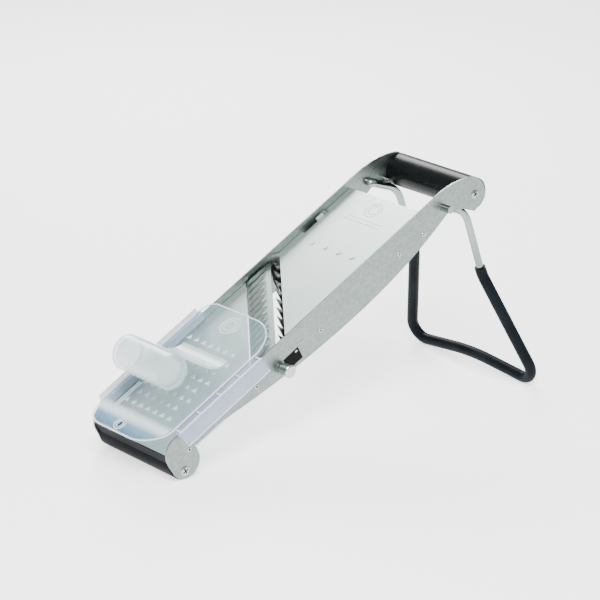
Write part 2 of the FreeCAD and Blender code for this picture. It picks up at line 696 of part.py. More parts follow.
def thickness_slider():
    """A sliding wedge under the in-feed plate with a finger tab through the plate's notch."""
    lever = dims.nub_along - HINGE_ALONG
    drop = -lever * math.sin(math.radians(dims.tilt_angle.number))
    slope = drop / dims.slider_travel
    contact = dims.nub_bottom - dims.wedge_gap
    outline = [
        (dims.slider_start, dims.slider_floor),
        (dims.slider_end, dims.slider_floor),
        (dims.slider_end, contact - slope * (dims.slider_end - dims.nub_along)),
        (dims.slider_start, contact + slope * (dims.nub_along - dims.slider_start)),
    ]
    wedge = prism(ACROSS, outline, dims.wedge_inner, dims.wedge_outer)
    base = box((dims.slider_start, dims.slider_end), (dims.wedge_inner, dims.slider_outer),
               (dims.slider_floor, dims.slider_floor + dims.slider_base))
    tab = box((dims.tab_start, dims.tab_end), (dims.tab_inner, dims.slider_outer),
              (dims.slider_floor, dims.tab_top))
    return fuse(wedge, base, tab)


def slider_rail():
    """The riveted channel that the slider runs in."""
    span = (dims.rail_low_end, dims.rail_high_end)
    outer, thick = inside - dims.side_gap, dims.bracket_thick
    floor = dims.slider_floor - dims.side_gap
    wall = box(span, (outer - thick, outer), (floor - thick, dims.rail_top))
    shelf = box(span, (dims.rail_edge, outer), (floor - thick, floor))
    lip = box(span, (dims.rail_edge, dims.rail_edge + thick), (floor - thick, floor + dims.rail_lip))
    hole = rod(*RIVETS["slider"], (dims.rail_edge, half), dims.rivet_radius + dims.rivet_gap)
    return cut(fuse(wall, shelf, lip), hole)


def plate_rest():
    """The riveted angle that stops the in-feed plate on the knob side."""
    span, top = (dims.rest_start, dims.rest_end), dims.rest_top
    outer = -(inside - dims.side_gap)
    wall = box(span, (outer, outer + dims.bracket_thick), (dims.rest_bottom, top))
    shelf = box(span, (outer, -dims.rest_inner), (top - dims.bracket_thick, top))
    hole = rod(*RIVETS["slider"], (-half, -dims.rest_inner), dims.rivet_radius + dims.rivet_gap)
    return cut(fuse(wall, shelf), hole)


node("thickness_slider", thickness_slider())
node("slider_rail", slider_rail())
node("plate_rest", plate_rest())


# ---------------------------------------------------------------- folding leg

def bent_path(corners, bends):
    """Straight runs through the corners, joined by tangent arcs of the given radii."""
    edges = []
    last = corners[0]
    for before, corner, after, radius in zip(corners, corners[1:], corners[2:], bends):
        back = (before - corner).normalize()
        ahead = (after - corner).normalize()
        half_turn = (math.pi - back.getAngle(ahead)) / 2
        reach = radius * math.tan(half_turn)
        inner = (back + ahead).normalize()
        first, end = corner + back * reach, corner + ahead * reach
        middle = corner + inner * (radius / math.cos(half_turn) - radius)
        edges.append(Part.makeLine(last, first))
        edges.append(Part.Arc(first, middle, end).toShape())
        last = end
    edges.append(Part.makeLine(last, corners[-1]))
    return Part.Wire(edges)


def pipe(path, radius):
    start = path.Edges[0].firstVertex().Point
    heading = path.Edges[0].lastVertex().Point - start
    ring = Part.Wire([Part.makeCircle(radius, start, heading)])
    return path.makePipeShell([ring], True, False)


def leg_corners():
    """The corners of the left half of the wire, from the hinge pin to the middle of the foot."""
    rake = math.radians(dims.leg_rake.number)
    down = V(-math.sin(rake), 0, -math.cos(rake))
    flare = math.tan(math.radians(dims.flare_angle.number))
    bow = math.tan(math.radians(dims.bow_angle.number))
    arm, start = dims.arm_across.number, dims.flare_start.number
    radius = dims.foot_bend.number
    pivot = V(dims.pivot_along.number, 0, dims.pivot_height.number)
    elbow = V(dims.elbow_along.number, 0, dims.elbow_height.number)
    fall = -DECK_TURN.multVec(down).z
    lowest = (DECK.multVec(elbow).z - dims.sleeve_radius.number) / fall
    bend_down = lowest - radius
    bend_out = arm + (bend_down - start) * flare - radius * math.hypot(1, flare)
    middle_down = bend_down + radius * math.hypot(1, bow) - bend_out * bow
    foot_down = (middle_down + (arm - start * flare) * bow) / (1 - flare * bow)
    foot_out = arm + (foot_down - start) * flare
    return [
        pivot + V(0, dims.pin_reach.number, 0),
        pivot + V(0, arm, 0),
        elbow + V(0, arm, 0),
        elbow + V(0, arm, 0) + down * start,
        elbow + V(0, foot_out, 0) + down * foot_down,
        elbow + down * middle_down,
    ]


def mirrored(corners):
    return [V(corner.x, -corner.y, corner.z) for corner in reversed(corners)]


def leg_rod_and_sleeve():
    """The bent wire, and the rubber tube over its lower part."""
    corners = leg_corners()
    bends = [dims.pin_bend, dims.elbow_bend, dims.flare_bend, dims.foot_bend]
    bends = [bend.number for bend in bends]
    bow = dims.bow_bend.number
    wire_path = bent_path(corners + mirrored(corners[:-1]), bends + [bow] + bends[::-1])
    wire = pipe(wire_path, dims.rod_radius.number)
    arm = (corners[3] - corners[2]).normalize()
    lower = [corners[2] + arm * dims.sleeve_start.number] + corners[3:]
    tube_path = bent_path(lower + mirrored(lower[:-1]), [*bends[2:], bow, *bends[:1:-1]])
    bore = pipe(tube_path, dims.rod_radius.number + dims.sleeve_gap.number)
    return wire, pipe(tube_path, dims.sleeve_radius.number).cut(bore)


for name, shape in zip(("leg_rod", "leg_sleeve"), leg_rod_and_sleeve()):
    leg_part = document.addObject("Part::Feature", name)
    leg_part.Shape = shape
    node(name, leg_part)
node("leg_stops", group(*[rod(dims.stop_along, dims.stop_height, between(side, dims.stop_reach, inside),
                              dims.stop_radius) for side in SIDES.values()]))


# ---------------------------------------------------------------- food guard

def sine(angle):
    return Size(math.sin(math.radians(angle.number)), f"sin({angle.text})")


def cosine(angle):
    return Size(math.cos(math.radians(angle.number)), f"cos({angle.text})")


def guard_sheet():
    """The clear top of the guard: flat over the deck, with a raised lip past the foot."""
    low, high = dims.guard_floor, dims.guard_floor + dims.guard_thick
    rise, run = sine(dims.lip_angle), cosine(dims.lip_angle)
    under_bend = dims.lip_bend
    over_bend = dims.lip_bend - dims.guard_thick
    under_x, under_z = -(under_bend * rise), low + under_bend * (1 - run)
    over_x, over_z = -(over_bend * rise), high + over_bend * (1 - run)
    lip_run = dims.guard_tip - under_x
    lip_rise = -(lip_run * rise / run)
    profile = [
        (dims.guard_tip, under_z + lip_rise),
        (under_x, under_z),
        arc(0, low, under_bend, 1),
        (dims.guard_end, low),
        (dims.guard_end, high),
        (0, high),
        arc(over_x, over_z, over_bend, -1),
        (over_x + lip_run, over_z + lip_rise),
    ]
    bent = prism(ACROSS, profile, -dims.guard_half, dims.guard_half)
    start, end, side = dims.guard_tip - 1, dims.guard_end, dims.guard_half
    near, right, left = dims.corner_low, dims.corner_right, dims.corner_left
    outline = [
        arc(start + near, -side, near, 1),
        (end - right, -side),
        arc(end, right - side, right, 1),
        (end, side - left),
        arc(end - left, side, left, 1),
        (start + near, side),
        arc(start, side - near, near, 1),
        (start, near - side),
    ]
    blank = prism(FLAT, outline, low - 1, high + 8)
    stud_hole = post(dims.stud_along, dims.stud_across, (low - 1, high + 8), dims.stud_radius)
    return cut(common(bent, blank), stud_hole)


def guard_channel(side, end):
    """The rail that straddles one side plate: inner rib, ridged channel and sloping skirt."""
    edge = dims.edge_height + dims.rail_clear
    floor = edge + dims.rail_slab
    inner, outer, wall = dims.rail_inner, dims.rail_outer, dims.rail_wall
    profile = [
        (inner, dims.rib_bottom),
        (inner, dims.guard_floor),
        (dims.guard_half, dims.guard_floor),
        (dims.guard_half, floor),
        (outer - wall, floor),
        (outer - wall, dims.ridge_top),
        (outer, dims.ridge_top),
        (outer, floor),
        (dims.skirt_out, dims.skirt_bottom),
        (dims.skirt_out - wall, dims.skirt_bottom),
        (outer - wall, edge),
        (inner + wall - dims.side_gap, edge),
        (inner + wall - dims.side_gap, dims.rib_bottom),
    ]
    profile = [(y * side, z) for y, z in profile]
    rail = prism(LENGTHWISE, profile, dims.rail_start, end)
    ribs = []
    count = int((end.number - dims.rib_first.number) / dims.rib_pitch.number) + 1
    for number in range(count):
        x = dims.rib_first + dims.rib_pitch * number
        across = between(side, dims.guard_half - OVERLAP, outer - wall + OVERLAP)
        ribs.append(box((x, x + dims.rib_thick), across, (floor - OVERLAP, dims.guard_floor)))
    return fuse(rail, *ribs)


def guard_grip():
    """The hollow grip across the guard."""
    limits = (-dims.grip_half, dims.grip_half)
    return cut(rod(dims.grip_along, dims.grip_height, limits, dims.grip_radius),
               rod(dims.grip_along, dims.grip_height, (-half, half), dims.grip_radius - dims.grip_wall))


def grip_cap(side):
    """The disc set into one end of the grip."""
    outer = dims.grip_half - dims.grip_recess
    limits = between(side, outer - dims.cap_thick, outer)
    return rod(dims.grip_along, dims.grip_height, limits, dims.grip_radius - dims.grip_wall)


def guard_web():
    """The curved wall that carries the grip and sweeps out into the sheet."""
    lean_x = dims.web_bend_along - dims.web_top_along
    lean_z = dims.web_top_height - dims.web_bend_height
    slant = math.hypot(lean_x.number, lean_z.number)
    step_x, step_z = dims.web_thick * (lean_z.number / slant), dims.web_thick * (lean_x.number / slant)
    table = dims.guard_floor + dims.guard_thick
    bend = (dims.web_bend_along, dims.web_bend_height)
    top = (dims.web_top_along, dims.web_top_height)
    profile = [
        (dims.web_foot, table),
        arc(*bend, dims.web_radius, -1),
        top,
        (top[0] - step_x, top[1] - step_z),
        (bend[0] - step_x, bend[1] - step_z),
        arc(dims.web_foot - dims.web_foot_length, table, dims.web_radius - dims.web_thick, 1),
    ]
    wall = prism(ACROSS, profile, -dims.web_half, dims.web_half)
    return cut(wall, rod(dims.grip_along, dims.grip_height, (-half, half), dims.grip_radius))


def spike(x, y):
    """One small point that holds the food from above."""
    piece = document.addObject("Part::Cone", "spike")
    piece.setExpression("Radius2", dims.spike_radius.text)
    piece.setExpression("Radius1", dims.spike_tip.text)
    piece.setExpression("Height", dims.spike_drop.text)
    return place(piece, x, y, dims.guard_floor - dims.spike_drop)


def guard_spikes():
    rows, columns = 8, 8
    pieces = []
    for row in range(rows):
        x = dims.spike_first + dims.spike_row * row
        for column in range(columns):
            pieces.append(spike(x, dims.spike_across + dims.spike_pitch * column))
    return group(*pieces)


def guard_stud():
    """The slotted stud in the lip."""
    x, y = dims.stud_along, dims.stud_across
    slot = box((x - dims.slot_half, x + dims.slot_half), (y - dims.slot_width, y + dims.slot_width),
               (dims.stud_high - dims.slot_depth, dims.stud_high + 1))
    return cut(post(x, y, (dims.stud_low, dims.stud_high), dims.stud_radius), slot)


node("guard_sheet", guard_sheet())
node("guard_channel_right", guard_channel(-1, dims.rail_end_right))
node("guard_channel_left", guard_channel(1, dims.rail_end_left))
node("guard_grip", guard_grip())
node("guard_grip_caps", group(grip_cap(-1), grip_cap(1)))
node("guard_web", guard_web())
node("guard_spikes", guard_spikes())
node("guard_stud", guard_stud())


# ---------------------------------------------------------------- checks and export

document.recompute()
for thing in document.Objects:
    if "Invalid" in thing.State or "Error" in thing.State:
        raise RuntimeError(f"{thing.Label} ({thing.TypeId}) did not build: {thing.State}")

os.makedirs("parts", exist_ok=True)
for piece in nodes:
    shape = piece.Shape
    if shape.isNull() or not shape.isValid() or not shape.Solids:
        raise RuntimeError(f"{piece.Label} has no sound solid")
    shape.exportStep(f"parts/{piece.Label}.step")
    bounds = shape.BoundBox
    print(f"{piece.Label}: {len(shape.Solids)} solids, volume {shape.Volume:.0f}, "
          f"x {bounds.XMin:.1f}..{bounds.XMax:.1f} y {bounds.YMin:.1f}..{bounds.YMax:.1f} "
          f"z {bounds.ZMin:.1f}..{bounds.ZMax:.1f}")
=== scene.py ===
import math

import bmesh
import bpy
from mathutils import Matrix, Vector


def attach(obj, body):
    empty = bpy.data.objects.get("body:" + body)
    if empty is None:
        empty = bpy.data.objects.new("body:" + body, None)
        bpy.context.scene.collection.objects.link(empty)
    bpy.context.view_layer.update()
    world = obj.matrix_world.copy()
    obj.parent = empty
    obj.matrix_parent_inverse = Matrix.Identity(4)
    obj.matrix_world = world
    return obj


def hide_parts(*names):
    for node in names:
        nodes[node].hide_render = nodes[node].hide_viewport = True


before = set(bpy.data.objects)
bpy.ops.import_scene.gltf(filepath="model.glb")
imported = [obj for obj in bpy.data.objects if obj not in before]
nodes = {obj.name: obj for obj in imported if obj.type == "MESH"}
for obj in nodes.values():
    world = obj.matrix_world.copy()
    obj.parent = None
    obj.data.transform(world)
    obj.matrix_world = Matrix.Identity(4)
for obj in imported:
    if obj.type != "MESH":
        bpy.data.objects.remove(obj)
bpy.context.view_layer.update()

# ---------------------------------------------------------------- the deck's own directions

# Sizes are in millimetres: along the deck from the foot to the handle, across it, and above the foot's axis.
MM = 0.001
DECK_ANGLE = math.radians(28)
FOOT_HEIGHT = 15.7
DECK = (Matrix.Translation((0, 0, FOOT_HEIGHT * MM)) @ Matrix.Rotation(-DECK_ANGLE, 4, "Y")
        @ Matrix.Scale(MM, 4))

# Side plates, deck and blade. The skew is the blade's run along the deck for each millimetre across it.
HALF = 52.0
DECK_TOP = 19.5
PLATE_HALF = 50.2
SKEW = 0.853
RIPPLE_EDGE = 135.5
STRAIGHT_EDGE = 166.0

# The guard's clear sheet, and the lip that bends up at its low end.
SHEET_LOW, SHEET_TOP = 30.0, 31.8
SHEET_START, SHEET_END = -22.0, 138.0
SHEET_HALF = 50.2
LIP_ANGLE = math.radians(13)
LIP_BEND = 28.2
# Where the lip's painted reflection and highlight run, along the deck.
FILM_START, FILM_END = -19.6, 7.0


def deck(x, y, z):
    """A point given in millimetres along, across and above the deck, in the row frame."""
    return DECK @ Vector((x, y, z))


# ---------------------------------------------------------------- materials

def shader(name, base, roughness, metallic=0.0, **sockets):
    """A Principled material, with constants set straight on the shader."""
    made = bpy.data.materials.new(name)
    made.use_nodes = True
    bsdf = made.node_tree.nodes["Principled BSDF"]
    bsdf.inputs["Base Color"].default_value = (*base, 1.0)
    bsdf.inputs["Roughness"].default_value = roughness
    bsdf.inputs["Metallic"].default_value = metallic
    for key, value in sockets.items():
        bsdf.inputs[key.replace("_", " ")].default_value = value
    return made, made.node_tree, bsdf


def grain(tree, scale, detail=4.0, turn=DECK_ANGLE):
    """Noise in the deck's directions; scale is cycles per metre along, across and above."""
    coords = tree.nodes.new("ShaderNodeTexCoord")
    turned = tree.nodes.new("ShaderNodeMapping")
    turned.inputs["Rotation"].default_value = (0, turn, 0)
    stretch = tree.nodes.new("ShaderNodeMapping")
    stretch.inputs["Scale"].default_value = scale
    noise = tree.nodes.new("ShaderNodeTexNoise")
    noise.inputs["Scale"].default_value = 1.0
    noise.inputs["Detail"].default_value = detail
    tree.links.new(coords.outputs["Object"], turned.inputs["Vector"])
    tree.links.new(turned.outputs["Vector"], stretch.inputs["Vector"])
    tree.links.new(stretch.outputs["Vector"], noise.inputs["Vector"])
    return noise.outputs["Fac"]


def spread(tree, value, low, high, socket):
    """Feed a socket with value stretched to the range low..high."""
    ramp = tree.nodes.new("ShaderNodeMapRange")
    ramp.inputs["From Min"].default_value = 0.3
    ramp.inputs["From Max"].default_value = 0.7
    ramp.inputs["To Min"].default_value = low
    ramp.inputs["To Max"].default_value = high
    tree.links.new(value, ramp.inputs["Value"])
    tree.links.new(ramp.outputs["Result"], socket)


def tint(tree, value, dark, light, bsdf):
    """Vary the base colour between two colours."""
    ramp = tree.nodes.new("ShaderNodeValToRGB")
    ramp.color_ramp.elements[0].position = 0.3
    ramp.color_ramp.elements[0].color = (*dark, 1)
    ramp.color_ramp.elements[1].position = 0.7
    ramp.color_ramp.elements[1].color = (*light, 1)
    tree.links.new(value, ramp.inputs["Fac"])
    tree.links.new(ramp.outputs["Color"], bsdf.inputs["Base Color"])


def relief(tree, value, strength, distance, bsdf):
    """Bump from a value, its distance in metres."""
    bump = tree.nodes.new("ShaderNodeBump")
    bump.inputs["Strength"].default_value = strength
    bump.inputs["Distance"].default_value = distance
    tree.links.new(value, bump.inputs["Height"])
    tree.links.new(bump.outputs["Normal"], bsdf.inputs["Normal"])


def steel(name, dark, light, rough=(0.26, 0.42), streak=(14, 900, 900), bump=0.12, mottle=(9, 14, 14)):
    """Brushed stainless steel, its grain along the deck."""
    made, tree, bsdf = shader(name, light, rough[0], 1.0)
    fine = grain(tree, streak)
    broad = grain(tree, mottle, 3.0)
    spread(tree, fine, *rough, bsdf.inputs["Roughness"])
    tint(tree, broad, dark, light, bsdf)
    relief(tree, fine, bump, 0.0002, bsdf)
    return made


def plastic(name, dark, light, rough, speckle, bump, **sockets):
    """Moulded plastic or rubber with a fine surface."""
    made, tree, bsdf = shader(name, light, rough[0], 0.0, **sockets)
    fine = grain(tree, (speckle, speckle, speckle))
    broad = grain(tree, (30, 30, 30), 2.0)
    spread(tree, broad, *rough, bsdf.inputs["Roughness"])
    tint(tree, broad, dark, light, bsdf)
    relief(tree, fine, bump, 0.0003, bsdf)
    return made


def clear(name, dark, light, rough, face_alpha, rim_alpha):
    """Clear moulding: see-through face on, denser and whiter where it is seen edge on."""
    made, tree, bsdf = shader(name, light, rough[0], 0.0, Coat_Weight=0.3, Coat_Roughness=0.04)
    broad = grain(tree, (18, 18, 18), 2.0)
    spread(tree, broad, *rough, bsdf.inputs["Roughness"])
    tint(tree, broad, dark, light, bsdf)
    relief(tree, grain(tree, (45, 45, 45), 2.0), 0.05, 0.0006, bsdf)
    weight = tree.nodes.new("ShaderNodeLayerWeight")
    weight.inputs["Blend"].default_value = 0.35
    ramp = tree.nodes.new("ShaderNodeMapRange")
    ramp.inputs["To Min"].default_value = face_alpha
    ramp.inputs["To Max"].default_value = rim_alpha
    tree.links.new(weight.outputs["Facing"], ramp.inputs["Value"])
    tree.links.new(ramp.outputs["Result"], bsdf.inputs["Alpha"])
    return made


def lip_painted_light():
    """The lip's painted light: a painted blue reflection at its edge, through a painted highlight along the
    bend, to nothing.
    """
    made, tree, bsdf = shader("clear_lip_painted_light", (0.5, 0.7, 0.8), 0.08, Coat_Weight=0.3, Coat_Roughness=0.04)
    coords = tree.nodes.new("ShaderNodeTexCoord")
    turned = tree.nodes.new("ShaderNodeMapping")
    turned.inputs["Rotation"].default_value = (0, DECK_ANGLE, 0)
    parts = tree.nodes.new("ShaderNodeSeparateXYZ")
    along = tree.nodes.new("ShaderNodeMapRange")
    offset = FOOT_HEIGHT * math.sin(DECK_ANGLE)
    along.inputs["From Min"].default_value = (FILM_START + offset) * MM
    along.inputs["From Max"].default_value = (FILM_END + offset) * MM
    tree.links.new(coords.outputs["Object"], turned.inputs["Vector"])
    tree.links.new(turned.outputs["Vector"], parts.inputs["Vector"])
    tree.links.new(parts.outputs["X"], along.inputs["Value"])
    # Painted reflection and highlight: deep blue at the edge, near-white along the bend, fading out up the
    # deck.
    colours = [(0.0, (0.07, 0.20, 0.34)), (0.40, (0.20, 0.40, 0.57)), (0.58, (0.70, 0.84, 0.92)),
               (0.72, (0.93, 0.98, 1.0)), (1.0, (0.75, 0.88, 0.92))]
    densities = [(0.0, 0.66), (0.40, 0.46), (0.60, 0.62), (0.74, 0.66), (1.0, 0.0)]
    for stops, socket in ((colours, "Base Color"), ([(at, (v, v, v)) for at, v in densities], "Alpha")):
        ramp = tree.nodes.new("ShaderNodeValToRGB")
        while len(ramp.color_ramp.elements) < len(stops):
            ramp.color_ramp.elements.new(0.5)
        for element, (at, colour) in zip(ramp.color_ramp.elements, stops):
            element.position = at
            element.color = (*colour, 1)
        tree.links.new(along.outputs["Result"], ramp.inputs["Fac"])
        tree.links.new(ramp.outputs["Color"], bsdf.inputs[socket])
    relief(tree, grain(tree, (45, 45, 45), 2.0), 0.05, 0.0006, bsdf)
    return made


PLATE = steel("side_steel", (0.175, 0.21, 0.195), (0.245, 0.285, 0.27), (0.30, 0.46), (60, 900, 500), 0.25,
              (260, 420, 420))
SHEET = steel("deck_steel", (0.56, 0.655, 0.61), (0.66, 0.755, 0.71), (0.36, 0.46), (10, 700, 700), 0.05)
BLADE = steel("blade_steel", (0.22, 0.28, 0.26), (0.31, 0.38, 0.355), (0.26, 0.36), (10, 900, 900), 0.03)
# Painted shade: a darker copy of the blade steel, laid on one flank of each rib.
SHADE = steel("blade_painted_shade", (0.06, 0.08, 0.075), (0.12, 0.15, 0.14), (0.26, 0.36), (10, 900, 900), 0.03)
TEETH = steel("tooth_steel", (0.05, 0.055, 0.055), (0.16, 0.17, 0.17), (0.22, 0.34), (400, 60, 400), 0.08)
BRIGHT = steel("turned_steel", (0.22, 0.25, 0.24), (0.46, 0.50, 0.48), (0.16, 0.28), (60, 500, 60), 0.06)
WIRE = steel("drawn_wire", (0.15, 0.175, 0.17), (0.30, 0.335, 0.325), (0.16, 0.24), (300, 300, 40), 0.05)
# Painted shade: near-black for the shade in screw crosses, rivet hollows, the stud's slot and the seams.
DARK = plastic("recess_shade", (0.004, 0.004, 0.004), (0.012, 0.012, 0.012), (0.5, 0.6), 900, 0.05,
               Specular_IOR_Level=0.2)
HANDLE = plastic("handle_plastic", (0.002, 0.003, 0.003), (0.005, 0.006, 0.006), (0.24, 0.32), 500, 0.02,
                 Specular_IOR_Level=0.09)
RUBBER = plastic("foot_rubber", (0.002, 0.003, 0.004), (0.005, 0.006, 0.008), (0.34, 0.46), 900, 0.06,
                 Specular_IOR_Level=0.02)
SLEEVE = plastic("sleeve_rubber", (0.002, 0.003, 0.004), (0.006, 0.009, 0.012), (0.40, 0.52), 1200, 0.12,
                 Specular_IOR_Level=0.05)
SCALE = plastic("scale_plastic", (0.002, 0.002, 0.002), (0.005, 0.005, 0.005), (0.40, 0.50), 900, 0.08,
                Specular_IOR_Level=0.05)
MARK = plastic("mark_paint", (0.62, 0.64, 0.62), (0.75, 0.77, 0.75), (0.5, 0.6), 900, 0.05)
TAB = plastic("tab_plastic", (0.30, 0.32, 0.33), (0.40, 0.42, 0.43), (0.40, 0.52), 900, 0.08)
CLEAR = clear("clear_guard", (0.30, 0.52, 0.62), (0.44, 0.65, 0.74), (0.06, 0.12), 0.03, 0.27)
# Painted highlight: whitish, near-opaque finish for the beads on the guard's rim, ridges, rungs, rings and
# ribs.
RIM_HIGHLIGHT = clear("clear_rim_highlight", (0.80, 0.90, 0.95), (0.92, 0.97, 1.0), (0.10, 0.18), 0.60, 0.90)
SKIRT = clear("clear_skirt", (0.34, 0.38, 0.58), (0.50, 0.54, 0.74), (0.08, 0.14), 0.36, 0.80)
FROST = clear("frosted_grip", (0.62, 0.76, 0.77), (0.76, 0.87, 0.87), (0.16, 0.26), 0.26, 0.72)
TOOTH = clear("clear_spike", (0.70, 0.84, 0.88), (0.90, 0.96, 0.98), (0.08, 0.14), 0.50, 0.95)
LIP_PAINTED_LIGHT = lip_painted_light()
SPIKE_SHADE = clear("spike_shade", (0.16, 0.24, 0.27), (0.26, 0.35, 0.38), (0.08, 0.14), 0.55, 0.90)

FINISHES = {
    PLATE: ["side_plate_right", "side_plate_left", "blade_carrier", "comb_bracket_right",
            "comb_bracket_left", "plate_rest"],
    SHEET: ["infeed_plate", "outfeed_plate"],
    BLADE: ["blade"],
    TEETH: ["comb_teeth"],
    BRIGHT: ["handle_rod", "handle_screws", "foot_rod", "foot_screws", "blade_pins", "infeed_hinge_rod",
             "rivets", "comb_posts", "leg_stops", "knob", "knob_shaft", "comb_cam"],
    WIRE: ["leg_rod"],
    HANDLE: ["handle_grip"],
    RUBBER: ["foot_bar"],
    SLEEVE: ["leg_sleeve"],
    SCALE: ["scale_block", "comb_bar", "slider_rail", "blade_end_block", "thickness_slider"],
    CLEAR: ["guard_sheet", "guard_stud"],
    SKIRT: ["guard_channel_right", "guard_channel_left"],
    FROST: ["guard_grip", "guard_grip_caps", "guard_web"],
    TOOTH: ["guard_spikes"],
}
for finish, names in FINISHES.items():
    for name in names:
        mesh = nodes[name].data
        mesh.materials.clear()
        mesh.materials.append(finish)


# ---------------------------------------------------------------- piece helpers

def own(piece, body, material, slot, *replaced):
    """Link a new piece, give it its look and body, and hide the nodes it stands for; slot is not used."""
    bpy.context.scene.collection.objects.link(piece)
    piece.data.materials.append(material)
    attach(piece, body)
    if replaced:
        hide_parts(*replaced)
    return piece


def solid(name, verts, faces, body, material, slot, *replaced, smooth=False):
    """A mesh from deck coordinates in millimetres."""
    mesh = bpy.data.meshes.new(name)
    mesh.from_pydata([deck(*v) for v in verts], [], faces)
    made = bmesh.new()
    made.from_mesh(mesh)
    bmesh.ops.recalc_face_normals(made, faces=made.faces)
    made.to_mesh(mesh)
    made.free()
    mesh.polygons.foreach_set("use_smooth", [smooth] * len(mesh.polygons))
    return own(bpy.data.objects.new(name, mesh), body, material, slot, *replaced)


def bead(name, points, radius, body, material, slot, closed=True):
    """A round bead that follows deck points."""
    curve = bpy.data.curves.new(name, "CURVE")
    curve.dimensions = "3D"
    curve.bevel_depth = radius * MM
    curve.bevel_resolution = 3
    curve.use_fill_caps = not closed
    line = curve.splines.new("POLY")
    line.points.add(len(points) - 1)
    for target, point in zip(line.points, points):
        target.co = (*deck(*point), 1)
    line.use_cyclic_u = closed
    return own(bpy.data.objects.new(name, curve), body, material, slot)


def ring_of(x, z, y, radius, count=40):
    """A ring of deck points round an axis across the deck."""
    return [(x + radius * math.cos(a), y, z + radius * math.sin(a))
            for a in (2 * math.pi * i / count for i in range(count))]


def flat_ring(x, y, z, radius, count=36):
    """A ring of deck points that lies flat on the deck."""
    return [(x + radius * math.cos(a), y + radius * math.sin(a), z)
            for a in (2 * math.pi * i / count for i in range(count))]


def cuboid(low, high):
    """Vertices and faces of a block between two corners."""
    verts = [(x, y, z) for x in (low[0], high[0]) for y in (low[1], high[1]) for z in (low[2], high[2])]
    return verts, [(0, 1, 3, 2), (4, 6, 7, 5), (0, 4, 5, 1), (2, 3, 7, 6), (0, 2, 6, 4), (1, 5, 7, 3)]


def lathe(profile, x, z, side, count=40):
    """Vertices and faces of a turned piece across the deck: profile is (radius, distance out) pairs."""
    verts, faces = [], []
    for radius, out in profile:
        verts += ring_of(x, z, out * side, max(radius, 0.01), count)
    for ring in range(len(profile) - 1):
        for i in range(count):
            j = (i + 1) % count
            faces.append((ring * count + i, ring * count + j, (ring + 1) * count + j, (ring + 1) * count + i))
    faces.append(tuple(range(count)))
    faces.append(tuple(range((len(profile) - 1) * count, len(profile) * count)))
    return verts, faces


def join(parts):
    """One list of vertices and faces from several."""
    verts, faces = [], []
    for more_verts, more_faces in parts:
        faces += [tuple(i + len(verts) for i in face) for face in more_faces]
        verts += more_verts
    return verts, faces


# ---------------------------------------------------------------- ripple blade

BLADE_HALF = 49
BLADE_BOTTOM, BLADE_TOP = DECK_TOP - 1.0, DECK_TOP + 0.1
RIBS = 14
RIB_RISE = 1.2
RIB_BOW = 1.3
RIB_TAPER = 9.0
RIB_END = 24.5
BEVEL_START, BEVEL_DROP = 24, 0.75
STEPS_PER_RIB, STEPS_ALONG = 16, 44
SHADED_RISE, SHADED_SLOPE = 0.16, 0.25


def smooth_step(share):
    """Nought to one with no corner at either end."""
    share = min(max(share, 0), 1)
    return share * share * (3 - 2 * share)


def rib_phase(along, ripple_phase):
    """Each rib bows a little to one side."""
    return ripple_phase + RIB_BOW * math.sin(math.pi * min(max(along / BEVEL_START, 0), 1))


def blade_height(along, ripple_phase):
    """How far the blade's top stands up, along millimetres back from its rippled edge."""
    start = smooth_step(along / RIB_TAPER)
    end = smooth_step((RIB_END - along) / RIB_TAPER)
    return RIB_RISE * start * end * (0.5 + 0.5 * math.cos(rib_phase(along, ripple_phase)))


def ripple_blade():
    """The rippled strip: ribs over most of its width, then a flat band that falls to the straight edge."""
    steps_across, steps_along = RIBS * STEPS_PER_RIB, STEPS_ALONG
    length = STRAIGHT_EDGE - RIPPLE_EDGE
    verts, faces = [], []
    for under in (False, True):
        for i in range(steps_across + 1):
            y = -BLADE_HALF + 2 * BLADE_HALF * i / steps_across
            phase = 2 * math.pi * RIBS * i / steps_across
            for j in range(steps_along + 1):
                along = length * j / steps_along
                bevel = BEVEL_DROP * min(max((along - BEVEL_START) / (length - BEVEL_START), 0), 1)
                z = BLADE_BOTTOM if under else BLADE_TOP - bevel + blade_height(along, phase)
                verts.append((RIPPLE_EDGE + along + SKEW * y, y, z))
    row = steps_along + 1
    top = (steps_across + 1) * row
    for i in range(steps_across):
        for j in range(steps_along):
            a = i * row + j
            faces.append((a, a + 1, a + row + 1, a + row))
            faces.append((top + a, top + a + row, top + a + row + 1, top + a + 1))
    for i in range(steps_across):
        for j in (0, steps_along):
            a = i * row + j
            faces.append((a, a + row, top + a + row, top + a))
    for i in (0, steps_across):
        for j in range(steps_along):
            a = i * row + j
            faces.append((a, a + 1, top + a + 1, top + a))
    strip = solid("ripple_blade", verts, faces, "base", BLADE, "blade_steel", "blade", smooth=True)
    # One flank of each raised rib takes the darker steel as painted shade.
    strip.data.materials.append(SHADE)
    for face in strip.data.polygons:
        i, j = divmod(face.vertices[0], row) if face.vertices[0] < top else (0, 0)
        along = length * j / steps_along
        phase = 2 * math.pi * RIBS * (i + 0.5) / steps_across
        slope = math.sin(rib_phase(along, phase))
        if blade_height(along, phase) > SHADED_RISE and slope > SHADED_SLOPE:
            face.material_index = 1


ripple_blade()


# ---------------------------------------------------------------- screws, rivets, knob

# Each screw's place along and above, and its head's radius. The cross is in shares of that radius.
HANDLE_SCREW = (369.2, -2.1, 4.0)
FOOT_SCREW = (-4.4, -6.8, 4.4)
SCREW_RISE = 1.3
CROSS_HALF_WIDTH, CROSS_REACH, CROSS_FLOOR_REACH = 0.13, 0.62, 0.55
CROSS_DEPTH = 0.8


